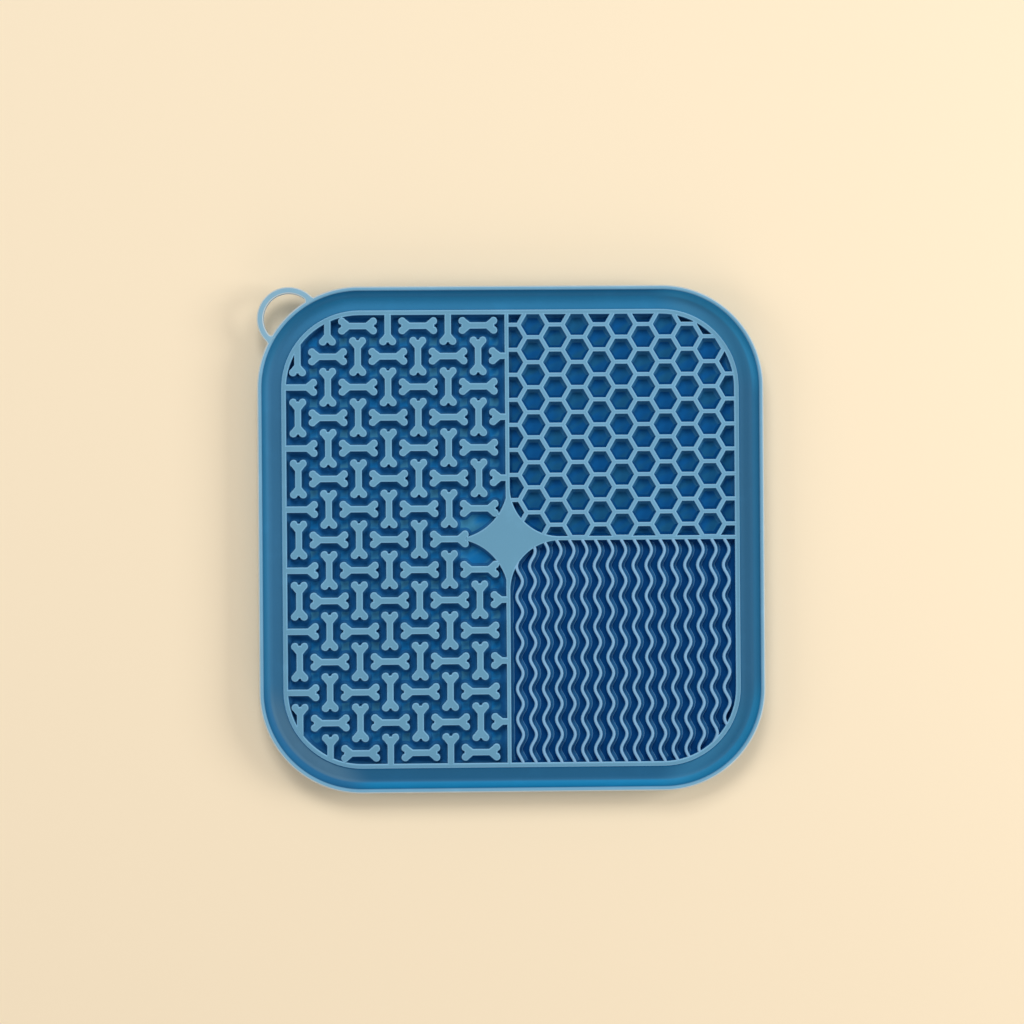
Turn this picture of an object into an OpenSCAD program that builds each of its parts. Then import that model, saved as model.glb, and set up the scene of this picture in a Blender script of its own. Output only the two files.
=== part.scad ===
// Silicone lick mat, lying flat with its textured face up.
// The origin is the middle of the underside; +X is the mat's right, +Y its top edge, +Z up.
// The real mat is one moulding: each feature of it is a solid of its own here,
// and neighbours meet face to face on the same outlines.

/* [Mat] */
// Width of the square mat over its outer faces
mat_w = 199; // [190:1:230]
// Radius of the mat's outer corners
corner_r = 40; // [34:0.5:48]
// Thickness of the web under the textures
sheet_t = 2; // [1.2:0.1:3]
// Height of the bones, cells and ribs above the web
relief_h = 4.5; // [3.2:0.1:6]

/* [Rim] */
// Height of the rim's lip above the underside
rim_h = 12; // [11:0.5:18]
// Width of the rim, from the outer face to the border ridge
rim_w = 9; // [8:0.5:12]
// Thickness of the rim's rounded lip
lip_t = 1.7; // [1.2:0.1:2.4]
// Height of the gutter's floor above the underside
gutter_z = 5; // [3:0.1:6]
// Radius of the curve from the gutter's floor up to the lip
gutter_r = 3.5; // [2:0.1:6]

/* [Ridge and dividers] */
// Width of the ridge that borders the textures
ridge_w = 2; // [1.2:0.1:3]
// Width of the straight ribs between the fields
divider_w = 1.7; // [1.2:0.1:2.6]
// Distance of the long divider to the left of the mat's middle
divider_shift = 1.4; // [0:0.1:5]

/* [Centre star] */
// Radius of the star's two hollow sides towards the bones
star_left_r = 22.2; // [20:0.1:26]
// Radius of the star's two hollow sides towards the cells and the waves
star_right_r = 19.6; // [16:0.1:24]
// Length of the star's left arm from the crossing of the dividers
star_left_arm = 16.6; // [14:0.1:18]

/* [Bones] */
// Length of a bone over its lobes
bone_l = 15.4; // [13:0.1:16]
// Width of a bone's shaft
bone_shaft_w = 2.65; // [2:0.05:3.2]
// Length of a bone's head, from the lobes' end to where the shaft begins
bone_head_l = 4.5; // [4:0.1:5.5]
// Radius of a lobe
bone_lobe_r = 1.55; // [1.3:0.05:1.75]
// Distance between the middles of a head's two lobes
bone_lobe_step = 3.7; // [3.2:0.1:4.2]
// Depth of the notch between a head's two lobes
bone_notch = 1.1; // [0.6:0.05:1.3]
// Distance between columns of bones
bone_pitch_x = 11.87; // [11.6:0.01:13]
// Distance between rows of bones
bone_pitch_y = 12.04; // [11.6:0.01:13]
// Distance from the mat's left face to the first column's middle
bone_first_x = 15.6; // [15:0.1:20]

/* [Honeycomb] */
// Width of a cell across its flats
cell_w = 8.2; // [6:0.1:8.8]
// Distance between columns of cells
cell_pitch_x = 8.71; // [8.4:0.01:11]
// Distance between the cells of one column
cell_pitch_y = 9.89; // [9.6:0.01:12]
// Distance from the long divider's middle to the first column of whole cells
cell_first_x = 10.4; // [9:0.1:12]
// Distance from the border ridge down to the first cell's middle
cell_first_y = 4; // [3:0.1:6]

/* [Waves] */
// Width of a wavy rib
wave_w = 1.25; // [0.8:0.05:2]
// Distance between wavy ribs
wave_pitch = 5.12; // [4.6:0.01:8]
// Length of one full wave
wave_l = 12.1; // [10:0.1:16]
// Sideways swing of a wave from its middle line
wave_swing = 1.16; // [0.6:0.02:1.6]
// Distance from the long divider's middle to the first rib's middle line
wave_first_x = 4.4; // [3.6:0.1:6]
// Distance from the cross divider's middle down to the first swing to the right
wave_first_y = 4.9; // [2:0.1:9]

/* [Hanging loop] */
// Inner radius of the loop
loop_r = 9.9; // [8:0.1:12]
// Width of the loop's strand
loop_w = 2.6; // [2:0.1:3]
// Thickness of the loop, whose upper face is level with the lip's top
loop_t = 3; // [2:0.1:5]
// Distance of the loop's middle inside the corner's outer face
loop_inset = 1.3; // [0.5:0.1:4]

/* [Hidden] */
$fn = 64;

pale_blue = [0.42, 0.61, 0.73];
mid_blue = [0.19, 0.44, 0.62];
deep_blue = [0.07, 0.29, 0.50];

// How far the cutting squares run past what they cut
over = 1;
// Straight steps along one wave
wave_steps = 12;

// The rounded outlines, from the outer face inwards
ridge_outer_w = mat_w - 2 * rim_w;
ridge_outer_r = corner_r - rim_w;
field_w = ridge_outer_w - 2 * ridge_w;
field_r = ridge_outer_r - ridge_w;
field_half = field_w / 2;

// The gutter's curve, limited by the room under the lip
gutter_curve_r = min(gutter_r, rim_h - lip_t / 2 - gutter_z, rim_w - lip_t);

// The crossing of the dividers, and the star's arms from there
cross_x = -divider_shift;
divider_left = cross_x - divider_w / 2;
divider_right = cross_x + divider_w / 2;
star_arm = star_right_r + divider_w / 2;

bone_w = bone_lobe_step + 2 * bone_lobe_r;
bone_x0 = -mat_w / 2 + bone_first_x;
bone_columns = floor((divider_left - bone_x0 + bone_l / 2) / bone_pitch_x);
bone_rows = ceil(field_half / bone_pitch_y);

cell_x0 = cross_x + cell_first_x;
cell_y0 = field_half - cell_first_y;
cell_columns = ceil((field_half - cell_x0) / cell_pitch_x);
cell_rows = ceil(field_half / cell_pitch_y);

wave_x0 = cross_x + wave_first_x;
wave_count = 1 + floor((field_half - wave_w / 2 - wave_swing - wave_x0) / wave_pitch);

// Outlines

module rounded_square(w, r) {
    square([w, w - 2 * r], center = true);
    square([w - 2 * r, w], center = true);
    for (x = [-1, 1], y = [-1, 1])
        translate([x * (w / 2 - r), y * (w / 2 - r)]) circle(r);
}

// The textured field inside the border ridge
module field() {
    rounded_square(field_w, field_r);
}

// A quarter of the star: a square whose far corner is hollowed by a circle
module star_quarter(reach, r) {
    difference() {
        square(reach);
        translate([reach, reach]) circle(r);
    }
}

// The star with the stretches of the dividers that run through it
module star() {
    translate([cross_x, 0]) intersection() {
        translate([-star_left_arm, -star_arm]) square([star_left_arm + star_arm, 2 * star_arm]);
        union() {
            for (up = [0, 1]) mirror([0, up]) {
                star_quarter(star_arm, star_right_r);
                mirror([1, 0]) star_quarter(star_left_r, star_left_r);
            }
            translate([-divider_w / 2, -star_arm]) square([divider_w, 2 * star_arm]);
            translate([0, -divider_w / 2]) square([star_arm, divider_w]);
        }
    }
}

module bone_field() {
    difference() {
        intersection() {
            field();
            translate([-field_half - over, -field_half - over])
                square([field_half + over + divider_left, field_w + 2 * over]);
        }
        star();
    }
}

module cell_field() {
    difference() {
        intersection() {
            field();
            translate([divider_right, divider_w / 2]) square(field_w);
        }
        star();
    }
}

module wave_field() {
    difference() {
        intersection() {
            field();
            translate([divider_right, -divider_w / 2 - field_w]) square(field_w);
        }
        star();
    }
}

// Bones

// The head flares from the neck along a line that runs into the lobe just inside its round:
// the line passes the lobe's middle at this share of its radius
flare_share = 0.95;
lobe_x = bone_l / 2 - bone_lobe_r;
lobe_y = bone_lobe_step / 2;
neck_x = bone_l / 2 - bone_head_l;
neck_y = bone_shaft_w / 2;
flare_r = flare_share * bone_lobe_r;
neck_reach = norm([lobe_x - neck_x, lobe_y - neck_y]);
flare_angle = atan2(lobe_y - neck_y, lobe_x - neck_x) + asin(flare_r / neck_reach);
flare_l = sqrt(neck_reach * neck_reach - flare_r * flare_r);
flare_x = neck_x + flare_l * cos(flare_angle);
flare_y = neck_y + flare_l * sin(flare_angle);

module bone_head() {
    polygon([[neck_x, -neck_y], [flare_x, -flare_y], [lobe_x, -lobe_y], [bone_l / 2 - bone_notch, 0],
             [lobe_x, lobe_y], [flare_x, flare_y], [neck_x, neck_y]]);
    for (y = [-lobe_y, lobe_y])
        translate([lobe_x, y]) circle(bone_lobe_r);
}

// A bone with a head at each end, or with a plain shaft that runs on where it grows out of a rib
module bone(left_head, right_head) {
    left_l = left_head ? neck_x : bone_l / 2;
    right_l = right_head ? neck_x : bone_l / 2;
    translate([-left_l, -neck_y]) square([left_l + right_l, bone_shaft_w]);
    if (left_head) mirror([1, 0]) bone_head();
    if (right_head) bone_head();
}

// Lying and standing bones take turns along the columns and the rows
function is_lying(column, row) = (column + row) % 2 != 0;
function bone_x(column) = bone_x0 + column * bone_pitch_x;
function bone_y(row) = row * bone_pitch_y;

function in_outline(x, y) =
    norm([max(abs(x) - field_half + field_r, 0), max(abs(y) - field_half + field_r, 0)]) <= field_r;
function in_star(x, y) =
    abs(x - cross_x) < star_left_r && abs(y) < star_left_r
    && norm([star_left_r - abs(x - cross_x), star_left_r - abs(y)]) > star_left_r;
function in_bone_field(x, y) = x < divider_left && in_outline(x, y) && !in_star(x, y);

// A bone is there if its middle lies in the field, or its left end for one that runs into the divider
function is_there(column, row) =
    in_bone_field(bone_x(column), bone_y(row))
    || (is_lying(column, row) && in_bone_field(bone_x(column) - bone_l / 2, bone_y(row)));

// A bone is whole if the corners and the middles of the sides of its box lie in the field
function is_whole(column, row) =
    let (half = is_lying(column, row) ? [bone_l / 2, bone_w / 2] : [bone_w / 2, bone_l / 2])
    len([for (x = [-1, 0, 1], y = [-1, 0, 1])
        if (!in_bone_field(bone_x(column) + x * half[0], bone_y(row) + y * half[1])) 1]) == 0;

// A head is there if the middle between its lobes lies inside the ridge and left of the divider
function has_head(column, row, side) =
    let (x = bone_x(column) + (is_lying(column, row) ? side * lobe_x : 0),
         y = bone_y(row) + (is_lying(column, row) ? 0 : side * lobe_x))
    x < divider_left && in_outline(x, y);

module bones(lying, whole) {
    for (column = [0:bone_columns], row = [-bone_rows:bone_rows])
        if (is_there(column, row) && is_lying(column, row) == lying && is_whole(column, row) == whole)
            translate([bone_x(column), bone_y(row)]) rotate(lying ? 0 : 90)
                bone(has_head(column, row, -1), has_head(column, row, 1));
}

// Waves

function wave_offset(y) = wave_swing * cos(360 * (y + wave_first_y) / wave_l);
function wave_lean(y) = atan(-wave_swing * 2 * PI / wave_l * sin(360 * (y + wave_first_y) / wave_l));
function wave_edge(y, side) =
    [wave_offset(y) + side * wave_w / 2 * cos(wave_lean(y)), y - side * wave_w / 2 * sin(wave_lean(y))];

module wave_rib() {
    step = wave_l / wave_steps;
    count = ceil((field_half + wave_l) / step);
    polygon(concat([for (i = [0:count]) wave_edge(-i * step, -1)],
                   [for (i = [count:-1:0]) wave_edge(-i * step, 1)]));
}

// Rim

// Section of the rim: outer face at zero, inwards to the right, height upwards
module rim_section() {
    difference() {
        union() {
            square([rim_w, gutter_z]);
            square([lip_t + gutter_curve_r, gutter_z + gutter_curve_r]);
            square([lip_t, rim_h - lip_t / 2]);
            translate([lip_t / 2, rim_h - lip_t / 2]) circle(lip_t / 2);
        }
        translate([lip_t + gutter_curve_r, gutter_z + gutter_curve_r]) circle(gutter_curve_r);
    }
}

// The sub-parts

module base_sheet() {
    color(deep_blue) linear_extrude(sheet_t) rounded_square(ridge_outer_w, ridge_outer_r);
}

module outer_rim() {
    side_l = mat_w - 2 * corner_r;
    color(mid_blue) for (turn = [0:90:270]) rotate(turn) {
        translate([mat_w / 2, side_l / 2, 0]) rotate([90, 0, 0])
            linear_extrude(side_l) mirror([1, 0]) rim_section();
        translate([side_l / 2, side_l / 2, 0])
            rotate_extrude(angle = 90) translate([corner_r, 0]) mirror([1, 0]) rim_section();
    }
}

module border_ridge() {
    color(pale_blue) translate([0, 0, sheet_t]) linear_extrude(relief_h) difference() {
        rounded_square(ridge_outer_w, ridge_outer_r);
        field();
    }
}

module long_divider() {
    color(pale_blue) translate([0, 0, sheet_t]) linear_extrude(relief_h)
        for (up = [0, 1]) mirror([0, up])
            translate([divider_left, star_arm]) square([divider_w, field_half - star_arm]);
}

module cross_divider() {
    color(pale_blue) translate([0, 0, sheet_t]) linear_extrude(relief_h)
        translate([cross_x + star_arm, -divider_w / 2]) square([field_half - star_arm - cross_x, divider_w]);
}

module centre_star() {
    color(pale_blue) translate([0, 0, sheet_t]) linear_extrude(relief_h) star();
}

module lying_bones() {
    color(pale_blue) translate([0, 0, sheet_t]) linear_extrude(relief_h) bones(true, true);
}

module standing_bones() {
    color(pale_blue) translate([0, 0, sheet_t]) linear_extrude(relief_h) bones(false, true);
}

// The bones that the ridge, the divider or the star cuts short
module border_bones() {
    color(pale_blue) translate([0, 0, sheet_t]) linear_extrude(relief_h) intersection() {
        bone_field();
        union() {
            bones(true, false);
            bones(false, false);
        }
    }
}

// Odd columns of cells stand half a cell lower than even ones
module honeycomb() {
    color(pale_blue) translate([0, 0, sheet_t]) linear_extrude(relief_h) difference() {
        cell_field();
        for (column = [-1:cell_columns], row = [-1:cell_rows])
            translate([cell_x0 + column * cell_pitch_x,
                       cell_y0 - (row + (column % 2 == 0 ? 0 : 1 / 2)) * cell_pitch_y])
                circle(cell_w / 2 / cos(30), $fn = 6);
    }
}

module wave_ribs() {
    color(pale_blue) translate([0, 0, sheet_t]) linear_extrude(relief_h) intersection() {
        wave_field();
        for (i = [0:wave_count - 1])
            translate([wave_x0 + i * wave_pitch, 0]) wave_rib();
    }
}

module hanging_loop() {
    loop_out = corner_r - loop_inset;
    color(pale_blue) translate([0, 0, rim_h - loop_t]) linear_extrude(loop_t) difference() {
        translate([-mat_w / 2 + corner_r - loop_out * cos(45), mat_w / 2 - corner_r + loop_out * sin(45)])
            difference() {
                circle(loop_r + loop_w);
                circle(loop_r);
            }
        rounded_square(mat_w, corner_r);
    }
}

base_sheet();
outer_rim();
border_ridge();
long_divider();
cross_divider();
centre_star();
lying_bones();
standing_bones();
border_bones();
honeycomb();
wave_ribs();
hanging_loop();
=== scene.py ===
# Silicone lick mat, lying flat with its textured face up, as it comes out of its mould.
# Metres. +X is the mat's right, +Y its top edge and +Z up. The hanging loop is at the -X +Y corner.
import math

import bmesh
import bpy
from mathutils import Matrix, Vector
from mathutils.bvhtree import BVHTree


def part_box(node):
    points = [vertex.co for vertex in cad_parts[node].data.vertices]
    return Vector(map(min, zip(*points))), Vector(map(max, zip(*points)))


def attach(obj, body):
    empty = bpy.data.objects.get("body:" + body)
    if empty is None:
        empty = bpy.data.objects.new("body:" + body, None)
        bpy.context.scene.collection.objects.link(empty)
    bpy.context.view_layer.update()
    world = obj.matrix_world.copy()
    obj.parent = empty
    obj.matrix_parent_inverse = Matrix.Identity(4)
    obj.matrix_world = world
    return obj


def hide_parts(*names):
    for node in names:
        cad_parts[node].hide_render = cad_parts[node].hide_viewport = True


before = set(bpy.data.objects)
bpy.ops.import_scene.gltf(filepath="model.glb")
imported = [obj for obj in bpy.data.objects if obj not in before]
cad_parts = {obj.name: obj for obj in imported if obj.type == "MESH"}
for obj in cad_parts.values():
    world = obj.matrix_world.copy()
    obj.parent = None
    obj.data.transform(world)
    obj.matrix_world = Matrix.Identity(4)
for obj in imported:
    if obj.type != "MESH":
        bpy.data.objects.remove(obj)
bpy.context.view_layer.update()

# The web
# The sheet of silicone that carries the textures, poured in one with them.
# It is a deep blue, with paler teal streaks of painted light, and painted shade in the bones' narrow
# gaps and between the waves.

MM = 0.001


class Wire:
    """A socket of a material's nodes. Sums on it add Math nodes, and node() adds any other node."""

    def __init__(self, tree, socket=None):
        self.tree = tree
        self.socket = socket

    def node(self, kind, settings, inputs, output=0):
        added = self.tree.nodes.new(kind)
        for setting, value in settings.items():
            setattr(added, setting, value)
        for name, value in inputs.items():
            if isinstance(value, Wire):
                self.tree.links.new(added.inputs[name], value.socket)
            else:
                added.inputs[name].default_value = value
        return Wire(self.tree, added.outputs[output])

    def maths(self, operation, *numbers):
        return self.node("ShaderNodeMath", {"operation": operation}, dict(enumerate(numbers)))

    def vector(self, operation, first, second, output="Vector"):
        return self.node("ShaderNodeVectorMath", {"operation": operation}, {0: first, 1: second}, output)

    def __add__(self, other):
        return self.maths("ADD", self, other)

    def __sub__(self, other):
        return self.maths("SUBTRACT", self, other)

    def __mul__(self, other):
        return self.maths("MULTIPLY", self, other)

    __radd__ = __add__
    __rmul__ = __mul__

    def __rsub__(self, other):
        return self.maths("SUBTRACT", other, self)

    def step(self, low, high):
        """0 below low, 1 above high, and smooth between them"""
        ends = {"Value": self, "From Min": low, "From Max": high}
        return self.node("ShaderNodeMapRange", {"interpolation_type": "SMOOTHSTEP"}, ends)

    def mix(self, first, second):
        """The colour first where this wire is 0, and second where it is 1"""
        return self.node("ShaderNodeMix", {"data_type": "RGBA"}, {0: self, 6: first, 7: second}, 2)

    def part(self, axis):
        """One number of a vector"""
        return self.node("ShaderNodeSeparateXYZ", {}, {0: self}, "XYZ".index(axis))

    def stretched(self, angle, length, width):
        """This place, counted in lengths along a direction and in widths across it"""
        inputs = {"Vector": self, "Rotation": (0, 0, angle), "Scale": (length, width, width)}
        return self.node("ShaderNodeMapping", {"vector_type": "TEXTURE"}, inputs)

    def noise(self, size, detail=2.0):
        """Clouds about size across, from 0 to 1, where this wire is a place"""
        inputs = {"Vector": self, "Scale": 1 / size, "Detail": detail}
        return self.node("ShaderNodeTexNoise", {}, inputs)


def paint(red, green, blue):
    """A colour that is given as a screen shows it, 0 to 255, by the screens' standard curve"""
    shades = [channel / 255 for channel in (red, green, blue)]
    return [s / 12.92 if s < 0.04045 else ((s + 0.055) / 1.055) ** 2.4 for s in shades] + [1]


# Slow clouds of pigment, a paler bloom in patches, and the grain of the mould's matte skin
CLOUD_SIZE, CLOUD_TINT = 38 * MM, 0.1
BLOOM_SIZE, BLOOM_TINT = 9 * MM, 0.07
GRAIN_SIZE, GRAIN_TINT = 0.55 * MM, 0.06
SKIN_SIZE = 0.16 * MM
DIMMEST = 0.91
SMOOTHEST, ROUGH_SPREAD = -0.05, 0.06
GRAIN_SHARE = 0.6
BUMP_DEPTH = 0.05 * MM
BUMP_STRENGTH = 0.12
SILICONE_IOR = 1.41


def silicone(name, layers, roughness, shine):
    """Silicone with a fine matte skin. layers gives its colour from the place on the mat
    and from the way that the surface faces there"""
    material = bpy.data.materials.new(name)
    material.use_nodes = True
    start = Wire(material.node_tree)
    surface = material.node_tree.nodes["Principled BSDF"]
    place = start.node("ShaderNodeTexCoord", {}, {}, "Object")
    facing = start.node("ShaderNodeNewGeometry", {}, {}, "Normal")
    colour = layers(place, facing)

    clouds = place.noise(CLOUD_SIZE, detail=3.0)
    bloom = place.noise(BLOOM_SIZE, detail=4.0).step(0.5, 0.8)
    grain = place.noise(GRAIN_SIZE)
    skin = place.noise(SKIN_SIZE, detail=1.0)
    bright = DIMMEST + clouds * CLOUD_TINT + bloom * BLOOM_TINT + grain * GRAIN_TINT
    grey = start.node("ShaderNodeCombineXYZ", {}, {0: bright, 1: bright, 2: bright})
    colour = colour.vector("MULTIPLY", colour, grey)
    rough = roughness + SMOOTHEST + clouds * ROUGH_SPREAD + skin * ROUGH_SPREAD
    height = grain * GRAIN_SHARE + skin * (1 - GRAIN_SHARE)
    bump = start.node("ShaderNodeBump", {}, {"Strength": BUMP_STRENGTH, "Distance": BUMP_DEPTH,
                                            "Height": height})

    links = material.node_tree.links
    links.new(surface.inputs["Base Color"], colour.socket)
    links.new(surface.inputs["Roughness"], rough.socket)
    links.new(surface.inputs["Normal"], bump.socket)
    surface.inputs["IOR"].default_value = SILICONE_IOR
    surface.inputs["Specular IOR Level"].default_value = shine
    return material


# The teal colours here are painted light, streaked over the blue floor
WEB_BLUE = paint(20, 117, 180)
WEB_LIGHT_TEAL = paint(60, 134, 172)
# Painted shade, for the narrow gaps between the bones and for their feet
SHADE_BLUE = paint(20, 92, 149)
CELL_BLUE = paint(12, 98, 162)
CELL_LIGHT_TEAL = paint(28, 104, 150)
# Painted shade, for the floor between the close waves and for the left side of their feet
WAVE_SHADE_NAVY = paint(5, 77, 139)
FIELD_BLEND = 0.1 * MM
STREAK_TURN = math.radians(30)
STREAK_L = 16 * MM
STREAK_W = 4.5 * MM
divider_x = sum(corner.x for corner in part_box("long_divider")) / 2
divider_y = sum(corner.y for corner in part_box("cross_divider")) / 2


def by_field(place, bones, cells, waves):
    """One colour for each of the three fields: the bones', the cells' and the waves'"""
    right = place.part("X").step(divider_x, divider_x + FIELD_BLEND)
    upper = place.part("Y").step(divider_y, divider_y + FIELD_BLEND)
    return right.mix(bones, upper.mix(waves, cells))


def light_streaked(place, blue, teal):
    """Blue silicone with paler teal streaks: painted light and shade on the floor"""
    streaks = place.stretched(STREAK_TURN, STREAK_L, STREAK_W).noise(1, detail=1.5)
    return streaks.step(0.38, 0.62).mix(blue, teal)


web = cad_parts["base_sheet"]
web_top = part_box("base_sheet")[1].z
BONE_L = 15.4 * MM
BONE_W = 6.8 * MM
BONE_PITCH = {"X": 11.87 * MM, "Y": 12.04 * MM}
bones_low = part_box("lying_bones")[0]
first_bone = {"X": bones_low.x + BONE_L / 2, "Y": bones_low.y + BONE_W / 2}
star_middle = (divider_x, divider_y, web_top)
OPEN_R = 17 * MM
OPEN_FADE = 3 * MM


def bone_web(place):
    """The bones' web has streaks of painted light where four bones leave room and beside the star,
    and painted shade, deep blue, in the narrow gaps between them"""
    turns = [(place.part(axis) - first_bone[axis]) * (math.pi / BONE_PITCH[axis]) for axis in "XY"]
    across, along = [turn.maths("SINE", turn) for turn in turns]
    room = (across * across * along * along).step(0.6, 0.85)
    from_star = place.vector("DISTANCE", place, star_middle, "Value")
    room = room.maths("MAXIMUM", room, 1 - from_star.step(OPEN_R, OPEN_R + OPEN_FADE))
    return room.mix(SHADE_BLUE, light_streaked(place, WEB_BLUE, WEB_LIGHT_TEAL))


def web_layers(place, facing):
    return by_field(place, bone_web(place), light_streaked(place, CELL_BLUE, CELL_LIGHT_TEAL), WAVE_SHADE_NAVY)


web.data.materials.clear()
web.data.materials.append(silicone("web_silicone", web_layers, roughness=0.6, shine=0.08))

# The rim
# A raised lip with a rounded top, and inside it a gutter that keeps what runs off the textures.
# One sweep of its section round the mat. Its lip has a painted sheen on top and a painted highlight on
# its outer edge.

rim_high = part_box("outer_rim")[1]
ridge_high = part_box("border_ridge")[1]
MAT_HALF = rim_high.x
RIM_W = rim_high.x - ridge_high.x
CORNER_R = 40 * MM
LIP_T = 1.7 * MM
GUTTER_Z = 5 * MM
GUTTER_RISE = 0.7 * MM
CURVE_R = 3.5 * MM
FOOT_R = 0.9 * MM
FILLET_R = 0.4 * MM
CORNER_STEPS = 30
ROUND_STEPS = 12
SMALL_ROUND_STEPS = 4
QUARTER = math.radians(90)
CREASE = math.radians(35)
WELD = 0.001 * MM
ALONG = Vector((0, 1, 0))
UP = Vector((0, 0, 1))


def rim_place(inwards, up):
    """A point of the rim's section, at the lower end of the mat's right side"""
    return Vector((MAT_HALF - inwards, CORNER_R - MAT_HALF, up))


def line(shape, start, end):
    """A straight stretch of a section, which gives back its far corner"""
    made = bmesh.ops.extrude_vert_indiv(shape, verts=[start])["verts"][0]
    made.co = end
    return made


def arc(shape, start, middle, angle, steps):
    """A round stretch of a section, which gives back its far corner"""
    swung = bmesh.ops.spin(shape, geom=[start], cent=middle, axis=ALONG, angle=angle, steps=steps)
    return swung["geom_last"][0]


def smoothed(shape, flat=math.inf):
    """Smooth shading, apart from creases and from faces that look up or down as straight as flat"""
    for face in shape.faces:
        face.smooth = abs(face.normal.z) < flat
    for edge in shape.edges:
        edge.smooth = edge.calc_face_angle(0) < CREASE


def piece(name, shape, material, slot, *nodes):
    """Makes an object of a shape, which stands for its CAD nodes"""
    mesh = bpy.data.meshes.new(name)
    shape.to_mesh(mesh)
    shape.free()
    mesh.materials.append(material)
    made = bpy.data.objects.new(name, mesh)
    bpy.context.scene.collection.objects.link(made)
    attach(made, "root")
    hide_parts(*nodes)
    return made


section = bmesh.new()
lip_middle = rim_high.z - LIP_T / 2
gutter_end = GUTTER_Z + GUTTER_RISE
first = section.verts.new(rim_place(FOOT_R, 0))
end = arc(section, first, rim_place(FOOT_R, FOOT_R), -QUARTER, SMALL_ROUND_STEPS)
end = line(section, end, rim_place(0, lip_middle))
end = arc(section, end, rim_place(LIP_T / 2, lip_middle), -2 * QUARTER, ROUND_STEPS)
end = line(section, end, rim_place(LIP_T, GUTTER_Z + CURVE_R))
end = arc(section, end, rim_place(LIP_T + CURVE_R, GUTTER_Z + CURVE_R), QUARTER, ROUND_STEPS)
end = line(section, end, rim_place(RIM_W - FILLET_R, gutter_end))
end = arc(section, end, rim_place(RIM_W - FILLET_R, gutter_end + FILLET_R), QUARTER, SMALL_ROUND_STEPS)
end = line(section, end, rim_place(RIM_W, 0))
section.edges.new((end, first))

swept = list(section.verts) + list(section.edges)
side_l = 2 * (MAT_HALF - CORNER_R)
for side in range(4):
    turn = QUARTER * side
    outwards = Vector((math.cos(turn), math.sin(turn), 0))
    along = Vector((-math.sin(turn), math.cos(turn), 0))
    corner = (outwards + along) * (MAT_HALF - CORNER_R)
    ring = [part for part in swept if isinstance(part, bmesh.types.BMEdge)]
    swept = bmesh.ops.extrude_edge_only(section, edges=ring)["geom"]
    moved = [part for part in swept if isinstance(part, bmesh.types.BMVert)]
    bmesh.ops.translate(section, verts=moved, vec=along * side_l)
    ring = [part for part in swept if not isinstance(part, bmesh.types.BMFace)]
    swept = bmesh.ops.spin(section, geom=ring, cent=corner, axis=UP, angle=QUARTER,
                           steps=CORNER_STEPS)["geom_last"]
bmesh.ops.remove_doubles(section, verts=section.verts, dist=WELD)
bmesh.ops.recalc_face_normals(section, faces=section.faces)
smoothed(section)

# Gutter and curved wall colours by side and corner, with light and shade painted in; the curve is
# lightest at the lower end
SIDE_GUTTER = paint(56, 114, 152)
TOP_GUTTER = paint(34, 114, 158)
BOTTOM_GUTTER = paint(38, 98, 136)
SIDE_CURVE = paint(46, 118, 160)
TOP_CURVE = paint(34, 108, 152)
BOTTOM_CURVE = paint(28, 128, 178)
HAZY_GUTTER = paint(80, 124, 153)
HAZY_CURVE = paint(40, 109, 155)
CORNER_GUTTER = paint(52, 118, 156)
UPPER_CORNER_CURVE = paint(48, 138, 184)
LOWER_CORNER_CURVE = paint(40, 132, 178)
OUTER_BLUE = paint(42, 118, 162)
LIP_SHEEN_BLUE = paint(112, 162, 192)
RIM_HIGHLIGHT = paint(186, 198, 202)
# Where one colour gives way to the next: the first four lie on the mat as seen from above, in x and
# y or in their squares, and the last two are heights
SIDES = (-0.5 * MAT_HALF ** 2, 0.5 * MAT_HALF ** 2)
UPPER_PART = (-0.5 * MAT_HALF, 0)
RIGHT_PART = (-0.2 * MAT_HALF, 0.2 * MAT_HALF)
BENDS = ((0.52 * MAT_HALF ** 2) ** 2, (0.66 * MAT_HALF ** 2) ** 2)
LIP_START = (rim_high.z - 1.3 * MM, rim_high.z - 0.6 * MM)
LIT_START = (lip_middle - 0.25 * MM, lip_middle + 0.15 * MM)
# How far the surface looks up at the gutter's floor, and how far it looks away from the mat's
# middle, times its distance from there, on the outer face and on the lit edge of the lip
FLOOR_UP = (0.85, 0.985)
OUTER_AWAY = (0.05, 0.07)
LIT_AWAY = (0.02, 0.065)


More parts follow.
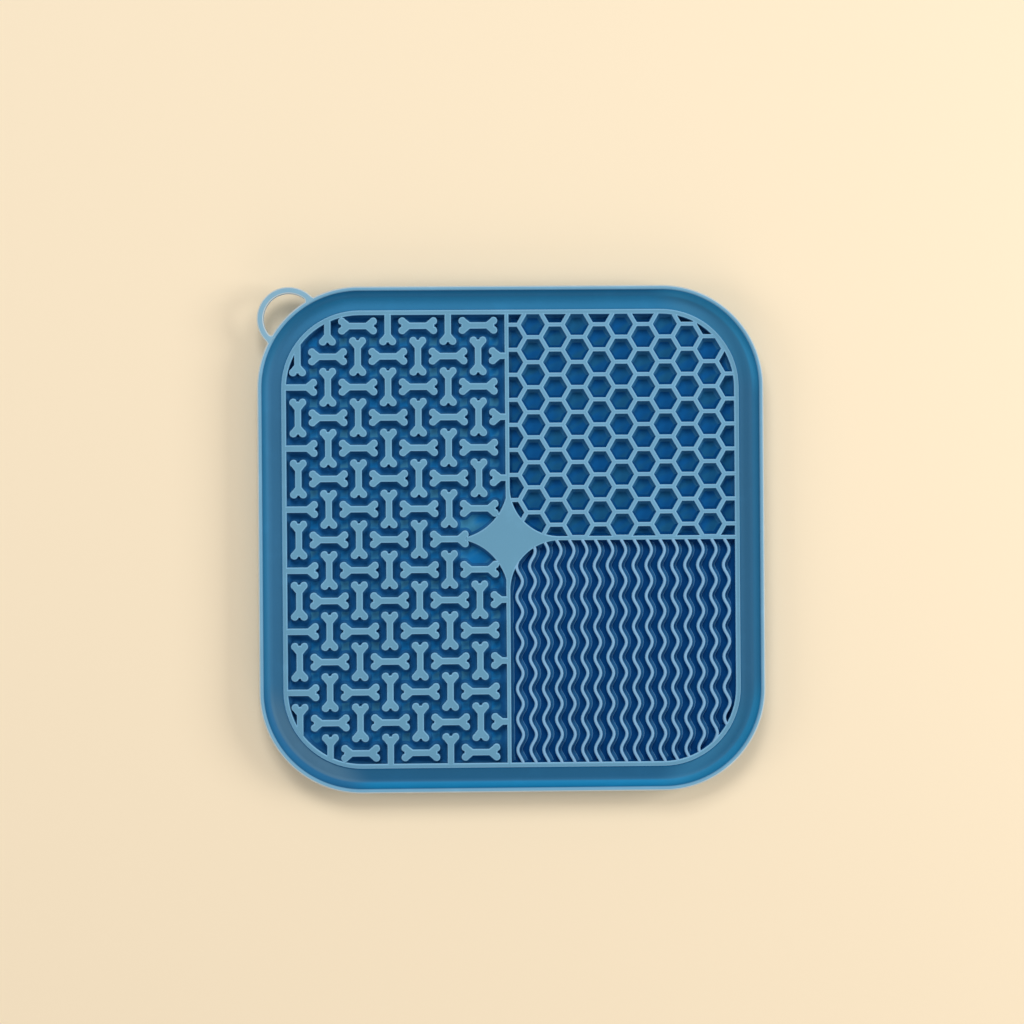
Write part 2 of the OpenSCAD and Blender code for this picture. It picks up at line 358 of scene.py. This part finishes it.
def rim_layers(place, facing):
    # Painted light and shade: the gutter is greyer at the mat's left and right than at its top, and
    # duller at its lower end
    across, along = place.part("X") * place.part("X"), place.part("Y") * place.part("Y")
    sideways = (across - along).step(*SIDES)
    upper = place.part("Y").step(*UPPER_PART)
    gutter = sideways.mix(upper.mix(BOTTOM_GUTTER, TOP_GUTTER), SIDE_GUTTER)
    curve = sideways.mix(upper.mix(BOTTOM_CURVE, TOP_CURVE), SIDE_CURVE)
    # The two corners at the right are brighter, with painted light, and the lower left one is paler and
    # greyer
    right = place.part("X").step(*RIGHT_PART)
    bend = (across * along).step(*BENDS) * (1 - upper * (1 - right))
    gutter = bend.mix(gutter, right.mix(HAZY_GUTTER, CORNER_GUTTER))
    corner_curve = upper.mix(LOWER_CORNER_CURVE, UPPER_CORNER_CURVE)
    curve = bend.mix(curve, right.mix(HAZY_CURVE, corner_curve))
    colour = facing.part("Z").step(*FLOOR_UP).mix(curve, gutter)
    # The outer face and the outer half of the lip look away from the mat's middle
    level = place.vector("MULTIPLY", place, (1, 1, 0))
    away = level.vector("DOT_PRODUCT", level, facing, "Value")
    colour = away.step(*OUTER_AWAY).mix(colour, OUTER_BLUE)
    # The lip's top is paler: a painted sheen
    colour = place.part("Z").step(*LIP_START).mix(colour, LIP_SHEEN_BLUE)
    # The outer edge of the lip is a painted highlight
    lit = away.step(*LIT_AWAY) * place.part("Z").step(*LIT_START)
    return lit.mix(colour, RIM_HIGHLIGHT)


rim_silicone = silicone("rim_silicone", rim_layers, roughness=0.45, shine=0.14)
piece("moulded_rim", section, rim_silicone, "rim_silicone", "outer_rim")

# The raised textures
# Ridge, dividers, star, bones, cells and waves stand on the web. Their upper edges are rounded and
# their feet flare out, as silicone leaves a mould. Where one grows out of another, it runs into it.

TEXTURES = ["border_ridge", "long_divider", "cross_divider", "centre_star", "lying_bones",
            "standing_bones", "border_bones", "honeycomb", "wave_ribs"]
RELIEF_TOP = ridge_high.z
EDGE_R = 0.5 * MM
EDGE_STEPS = 3
FLARE_R = 1.5 * MM
FLARE_STEPS = 4
SINK = 0.005 * MM
ROOT_L = 0.45 * MM
HAIR = 0.004 * MM
# A corner reaches at most 1 / MITRE times as far as its walls do. A wall looks for the next one up to
# SIGHT radii away. Two forms that face each other, or two roots in one neighbour, each take less than
# half of the room between them
MITRE = 0.75
SIGHT = 3
FREE_SHARE = 0.48
ROOT_SHARE = 0.45
# Distances that count as one point in the solids and in the finished skins, as touching a wall and
# as clear of it
FINE = 0.02 * MM
SEAM = 0.002 * MM
TOUCH = 0.09 * MM
CLEAR = 0.01 * MM
# Heights at which the walls are looked at, a little below their tops and above their feet
NEAR_TOP = RELIEF_TOP - 1 * MM
NEAR_FOOT = web_top + 1 * MM
# By the Z of its normal, a face is level past LEVEL, flat past FLAT and upright below UPRIGHT. Two
# faces lie on each other where the product of their normals is below -FACING
LEVEL = 0.99
FLAT = 0.999
UPRIGHT = 0.1
FACING = 0.9

WALL_BLUE = paint(40, 104, 154)
# Painted light and shade on the feet: paler on the cells' upper feet, darker on their lower ones, and
# lit on the waves' feet
UPPER_FOOT = paint(52, 122, 168)
LOWER_FOOT = paint(4, 80, 138)
WAVE_FOOT_LIGHT = paint(54, 126, 180)
WAVE_FOOT_HIGHLIGHT = paint(112, 168, 208)
# Heights above the web between which one colour gives way to the next
FOOT_FADE = (-SINK, 0.15 * MM)
BONE_FADE = (0.03 * MM, 0.4 * MM)
LINE_START = (-SINK, 0.003 * MM)
LINE_END = (0.012 * MM, 0.035 * MM)
# Heights above the table, for the same
WALL_START = (web_top + FLARE_R, RELIEF_TOP - 1.2 * MM)
TOP_START = (RELIEF_TOP - 0.6 * MM, RELIEF_TOP - 0.25 * MM)
EDGE_START = (web_top + FLARE_R, RELIEF_TOP - EDGE_R)
# How far the surface looks up where a rounded edge leaves the wall, on its shoulder, and on the top
ROUND_UP = (0.1, 0.4)
SHOULDER_UP = (0.55, 0.85)
TOP_UP = (0.98, 0.9999)
# How far it looks up the mat in the cells, right on the waves, and to the lower right on the edges
CELL_WAY = (-0.15, 0.15)
WAVE_WAY = (0.02, 0.15)
EDGE_WAY = (-0.3, 0.3)


def foot_layers(place, facing):
    """The feet fade out into their field's web, with light and shade painted on them. In the cells, the
    upper ones are paler, and the waves' feet are painted lit on their right, with a painted highlight
    line where they reach the web"""
    above = place.part("Z") - web_top
    foot = above.step(*FOOT_FADE)
    # The bones' feet are painted shade, deep blue, until they pale into the walls' blue
    bones = above.step(*BONE_FADE).mix(SHADE_BLUE, WALL_BLUE)
    bones = foot.mix(bone_web(place), bones)
    cells = facing.part("Y").step(*CELL_WAY).mix(UPPER_FOOT, LOWER_FOOT)
    cells = foot.mix(light_streaked(place, CELL_BLUE, CELL_LIGHT_TEAL), cells)
    highlight_line = above.step(*LINE_START) * (1 - above.step(*LINE_END))
    lit_foot = highlight_line.mix(WAVE_FOOT_LIGHT, WAVE_FOOT_HIGHLIGHT)
    waves = facing.part("X").step(*WAVE_WAY).mix(WAVE_SHADE_NAVY, lit_foot)
    return by_field(place, bones, cells, waves)


def relief_silicone(name, tops, shoulder_highlights, lit_edges, dim_edges):
    """tops is the pale colour of the tops, a painted sheen, and shoulders a painted highlight at the
    start of their rounded edges. Further down, the edges have painted light, lit_edges, at the upper
    left and painted shade, dim_edges, at the lower right"""
    def layers(place, facing):
        height, up = place.part("Z"), facing.part("Z")
        colour = height.step(*WALL_START).mix(foot_layers(place, facing), WALL_BLUE)
        colour = height.step(*TOP_START).mix(colour, tops)
        rounded = up.step(*ROUND_UP) * (1 - up.step(*TOP_UP)) * height.step(*EDGE_START)
        edges = (facing.part("X") - facing.part("Y")).step(*EDGE_WAY).mix(lit_edges, dim_edges)
        return rounded.mix(colour, up.step(*SHOULDER_UP).mix(edges, shoulder_highlights))
    return silicone(name, layers, roughness=0.6, shine=0.08)


bone_silicone = relief_silicone(
    "bone_silicone", tops=paint(99, 149, 178), shoulder_highlights=paint(118, 170, 202),
    lit_edges=paint(148, 202, 234), dim_edges=paint(60, 108, 148))
cell_silicone = relief_silicone(
    "cell_silicone", tops=paint(103, 153, 184), shoulder_highlights=paint(120, 170, 202),
    lit_edges=paint(134, 184, 216), dim_edges=paint(110, 162, 196))
wave_silicone = relief_silicone(
    "wave_silicone", tops=paint(126, 168, 201), shoulder_highlights=paint(126, 170, 204),
    lit_edges=paint(118, 160, 192), dim_edges=paint(114, 156, 190))


def walls_of(*nodes):
    """The faces of CAD nodes, to look for from other faces"""
    solids = bmesh.new()
    for node in nodes:
        solids.from_mesh(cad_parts[node].data)
    walls = BVHTree.FromBMesh(solids)
    solids.free()
    return walls


all_walls = walls_of(*TEXTURES)


def upright(face):
    return abs(face.normal.z) < UPRIGHT


def grown(shape, faces):
    """Extrudes faces, still where they were, and gives back the new ones and their corners"""
    if not faces:
        return set(), set()
    made = bmesh.ops.extrude_face_region(shape, geom=faces)["geom"]
    bmesh.ops.delete(shape, geom=[face for face in faces if face.is_valid], context="FACES")
    made = {part for part in made if isinstance(part, bmesh.types.BMFace)}
    return made, {corner for face in made for corner in face.verts}


def spread(shape, faces, layer, radius, walls, free, side):
    """Stores for each corner of faces how far it moves level, away from its walls or, with side -1,
    into them, and gives back the corners. free says which walls count"""
    corners = {corner for face in faces for corner in face.verts}
    for corner in corners:
        edges = [edge for edge in corner.link_edges if any(face in faces for face in edge.link_faces)]
        normals = [face.normal for edge in edges for face in edge.link_faces
                   if upright(face) and free(face)]
        if normals:
            outward = sum(normals, Vector())
            reach = radius / min(max(outward.length / 2, MITRE), 1)
            outward.normalize()
            start = Vector((corner.co.x, corner.co.y, NEAR_TOP)) + outward * side * CLEAR
            room = walls.ray_cast(start, outward * side, SIGHT * radius)[3] or SIGHT * radius
            corner[layer] = outward * side * min(reach, FREE_SHARE * room)
    return corners


def rooted(shape, neighbours):
    """Runs the ends that lie on a neighbour on into it, less than half way through, and gives
    back the faces at their new ends"""
    around = [walls_of(other) for other in neighbours]
    ends = []
    for face in shape.faces:
        for tree in around:
            near, normal = tree.find_nearest(face.calc_center_median(), TOUCH)[:2]
            if upright(face) and near and normal.dot(face.normal) < -FACING:
                ends.append(face)
                break
    roots, corners = grown(shape, ends)
    ways = {}
    for corner in corners:
        normals = [face.normal for face in corner.link_faces if face in roots]
        ways[corner] = sum(normals, Vector()).normalized()
    reaches = {}
    for corner, way in ways.items():
        start = Vector((corner.co.x, corner.co.y, NEAR_FOOT)) + way * TOUCH
        rooms = [tree.ray_cast(start, way, 2 * ROOT_L)[3] or 2 * ROOT_L for tree in around]
        reaches[corner] = min([ROOT_L] + [ROOT_SHARE * room for room in rooms])
    for corner, way in ways.items():
        corner.co += way * reaches[corner]
    return roots


def flare(shape, drift, free):
    """The foot of each wall that is free flares out on a hollow quarter circle. Its steps get finer
    towards the web, and it ends a hair below the web's top, so that it runs out level"""
    feet = {face for face in shape.faces if face.normal.z < -LEVEL}
    for corner in spread(shape, feet, drift, FLARE_R, all_walls, free, 1):
        if corner[drift].length:
            corner.co.z += FLARE_R
    for step in range(FLARE_STEPS):
        before, after = (QUARTER * math.sin(QUARTER * (step + part) / FLARE_STEPS) for part in (0, 1))
        feet, corners = grown(shape, list(feet))
        for corner in corners:
            if corner[drift].length:
                corner.co += corner[drift] * (math.cos(before) - math.cos(after))
                corner.co.z -= FLARE_R * (math.sin(after) - math.sin(before))
    for corner in corners:
        corner.co.z -= SINK
    for corner in shape.verts:
        corner[drift] = (0, 0, 0)


def round_over(shape, drift, walls, free):
    """The outline of the tops draws in on a quarter circle, or less where the form is narrow"""
    tops = {face for face in shape.faces
            if face.normal.z > LEVEL and face.calc_center_median().z > RELIEF_TOP - FINE}
    for corner in spread(shape, tops, drift, EDGE_R, walls, free, -1):
        corner.co.z -= EDGE_R
    for step in range(EDGE_STEPS):
        before, after = (QUARTER * (step + part) / EDGE_STEPS for part in (0, 1))
        tops, corners = grown(shape, list(tops))
        for corner in corners:
            corner.co += corner[drift] * (math.cos(before) - math.cos(after))
            corner.co.z += EDGE_R * (math.sin(after) - math.sin(before))
    brink = [edge for edge in shape.edges if sum(face in tops for face in edge.link_faces) == 1]
    bmesh.ops.delete(shape, geom=list(tops), context="FACES")
    bmesh.ops.triangle_fill(shape, edges=brink, use_beauty=True, normal=UP)


def turn_out(shape):
    """The skin of each solid is turned as one, so that its top looks up and all its faces outwards"""
    bmesh.ops.recalc_face_normals(shape, faces=shape.faces)
    waiting = set(shape.faces)
    while waiting:
        front = [waiting.pop()]
        skin = list(front)
        while front:
            near = {face for edge in front.pop().edges for face in edge.link_faces} & waiting
            waiting -= near
            front += near
            skin += near
        if sum(face.calc_area() * face.normal.z for face in skin
               if face.calc_center_median().z > NEAR_TOP) < 0:
            bmesh.ops.reverse_faces(shape, faces=skin)


def moulded(name, node, material, neighbours=(), proud=0.0):
    """A copy of a CAD node with round upper edges and a flared foot. Its ends run on into the
    neighbours that they touch, and it stands proud of them by a hair, so that no two tops lie in
    one plane"""
    shape = bmesh.new()
    shape.from_mesh(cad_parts[node].data)
    bmesh.ops.remove_doubles(shape, verts=shape.verts, dist=FINE)
    shape.normal_update()
    roots = rooted(shape, neighbours)
    shape.normal_update()
    walls = BVHTree.FromBMesh(shape)
    drift = shape.verts.layers.float_vector.new("drift")

    def free(face):
        return face not in roots

    def in_field(face):
        # The outer face of the ridge stands against the rim, and has no flare
        limit = 0 if node == "border_ridge" else math.inf
        return free(face) and face.normal.dot(face.calc_center_median()) < limit

    flare(shape, drift, in_field)
    round_over(shape, drift, walls, free)
    bmesh.ops.remove_doubles(shape, verts=shape.verts, dist=SEAM)
    turn_out(shape)
    for corner in shape.verts:
        if corner.co.z > NEAR_TOP:
            corner.co.z += proud
    smoothed(shape, FLAT)
    return piece(name, shape, material, "relief_silicone", node)


outer_carriers = ["border_ridge", "centre_star"]
carriers = ["border_ridge", "long_divider", "cross_divider", "centre_star"]
moulded("moulded_ridge", "border_ridge", bone_silicone)
moulded("moulded_star", "centre_star", bone_silicone, proud=HAIR)
moulded("moulded_long_divider", "long_divider", bone_silicone, outer_carriers, 2 * HAIR)
moulded("moulded_cross_divider", "cross_divider", bone_silicone, outer_carriers, 2 * HAIR)
moulded("moulded_lying_bones", "lying_bones", bone_silicone)
moulded("moulded_standing_bones", "standing_bones", bone_silicone)
moulded("moulded_border_bones", "border_bones", bone_silicone, carriers, 3 * HAIR)
moulded("moulded_honeycomb", "honeycomb", cell_silicone, carriers, 3 * HAIR)
moulded("moulded_wave_ribs", "wave_ribs", wave_silicone, carriers, 3 * HAIR)

# The hanging loop
# A flat strand moulded out of the rim's outer face at the upper left corner, to hang the mat up.
# It is one piece of silicone with the rim, and runs level into its lip with small rounds.

loop_low, loop_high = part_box("hanging_loop")
HOLE_R = 9.9 * MM
STRAND_W = 2.6 * MM
STRAND_R = 0.5 * MM
STRAND_STEPS = 4
LOOP_R = HOLE_R + STRAND_W / 2
LOOP_WAY = math.radians(135)
HALF_SWEEP = math.radians(97)
LOOP_STEPS = 130
INNER_ROUND = 1.3 * MM
OUTER_ROUND = 0.5 * MM
STRAND_BLUE = paint(126, 168, 192)
STRAND_UP = (0.95, 0.995)
strand_t = loop_high.z - loop_low.z
strand_z = loop_high.z - strand_t / 2
loop_middle = Vector((loop_low.x + LOOP_R + STRAND_W / 2, loop_high.y - LOOP_R - STRAND_W / 2, 0))
rim_corner = Vector((CORNER_R - MAT_HALF, MAT_HALF - CORNER_R))


def loop_layers(place, facing):
    # A painted highlight on the strand's rounded edges
    up = facing.part("Z")
    return (up.step(*ROUND_UP) * (1 - up.step(*STRAND_UP))).mix(STRAND_BLUE, RIM_HIGHLIGHT)


strand = bmesh.new()
bmesh.ops.create_grid(strand, x_segments=1, y_segments=1, size=0.5)
bmesh.ops.scale(strand, vec=(STRAND_W, strand_t, 1), verts=strand.verts)
bmesh.ops.bevel(strand, geom=strand.verts, offset=STRAND_R, offset_type="OFFSET",
                segments=STRAND_STEPS, profile=0.5, affect="VERTICES", material=-1)
# The section stands up, at the end of the sweep that is clockwise of the loop's outermost point
raised = Matrix.Rotation(QUARTER, 3, "X")
swung = Matrix.Rotation(LOOP_WAY - HALF_SWEEP, 3, "Z")
bmesh.ops.rotate(strand, verts=strand.verts, matrix=raised)
bmesh.ops.translate(strand, verts=strand.verts, vec=(LOOP_R, 0, strand_z))
bmesh.ops.rotate(strand, verts=strand.verts, matrix=swung)
bmesh.ops.translate(strand, verts=strand.verts, vec=loop_middle)
bmesh.ops.spin(strand, geom=list(strand.faces), cent=loop_middle, axis=UP, angle=2 * HALF_SWEEP,
               steps=LOOP_STEPS)
bmesh.ops.recalc_face_normals(strand, faces=strand.faces)
# Both ends widen on small rounds where they run into the lip
for corner in strand.verts:
    spoke = corner.co.xy - loop_middle.xy
    across = (spoke.length - LOOP_R) / STRAND_W
    size = INNER_ROUND if across < 0 else OUTER_ROUND
    gap = (corner.co.xy - rim_corner).length - CORNER_R
    if gap < size:
        depth = size - max(gap, 0)
        widening = size - math.sqrt(size * size - depth * depth)
        corner.co += Vector((spoke.x, spoke.y, 0)).normalized() * widening * 2 * across
smoothed(strand)
loop_silicone = silicone("loop_silicone", loop_layers, roughness=0.45, shine=0.2)
piece("moulded_loop", strand, loop_silicone, "rim_silicone", "hanging_loop")

# The floor, the lights and the camera
# A pale plain floor under soft studio light: strong lamps above the mat's top edge and at its right,
# and weak ones at its left and lower edge. The camera looks almost straight down on the face.

FLOOR_HALF = 3
FLOOR_GAP = 0.02 * MM
stage = bmesh.new()
bmesh.ops.create_grid(stage, x_segments=1, y_segments=1, size=FLOOR_HALF)
bmesh.ops.translate(stage, verts=stage.verts, vec=(0, 0, -FLOOR_GAP))
floor_mesh = bpy.data.meshes.new("floor")
stage.to_mesh(floor_mesh)
stage.free()
floor = bpy.data.objects.new("floor", floor_mesh)
bpy.context.scene.collection.objects.link(floor)
floor_paint = bpy.data.materials.new("floor_paint")
floor_paint.use_nodes = True
floor_surface = floor_paint.node_tree.nodes["Principled BSDF"]
floor_surface.inputs["Base Color"].default_value = paint(238, 221, 192)
floor_surface.inputs["Roughness"].default_value = 0.9
floor_mesh.materials.append(floor_paint)


def lamp(name, place, size, power, tint=(1, 1, 1)):
    """A square soft lamp that points at the mat's middle"""
    light = bpy.data.lights.new(name, "AREA")
    light.size = size
    light.energy = power
    light.color = tint
    made = bpy.data.objects.new(name, light)
    made.location = place
    made.rotation_euler = Vector(place).to_track_quat("Z", "Y").to_euler()
    bpy.context.scene.collection.objects.link(made)


lamp("key", place=(-0.15, 0.7, 1.02), size=0.5, power=6.2)
lamp("left", place=(-0.9, -0.1, 0.6), size=0.5, power=2.2, tint=(1, 0.96, 0.9))
lamp("right", place=(0.9, 0.1, 0.6), size=0.5, power=6, tint=(1, 0.97, 0.92))
lamp("near", place=(0.1, -0.9, 0.4), size=0.6, power=2, tint=(1, 0.86, 0.74))

SKY_STRENGTH = 0.36
world = bpy.data.worlds.new("studio")
bpy.context.scene.world = world
world.use_nodes = True
sky = world.node_tree.nodes["Background"]
sky.inputs["Color"].default_value = (1, 1, 1, 1)
sky.inputs["Strength"].default_value = SKY_STRENGTH

# Fitted to the photograph's framing, in metres and degrees
CAMERA_PLACE = (-0.0234, 0.0132, 0.96104)
CAMERA_TURN = (-0.149, -1.418, -0.422)
camera = bpy.data.cameras.new("camera")
camera.sensor_width = 36
camera.lens = 85
camera_object = bpy.data.objects.new("camera", camera)
camera_object.location = CAMERA_PLACE
camera_object.rotation_euler = [math.radians(angle) for angle in CAMERA_TURN]
bpy.context.scene.collection.objects.link(camera_object)
bpy.context.scene.camera = camera_object
bpy.context.scene.view_settings.view_transform = "Standard"
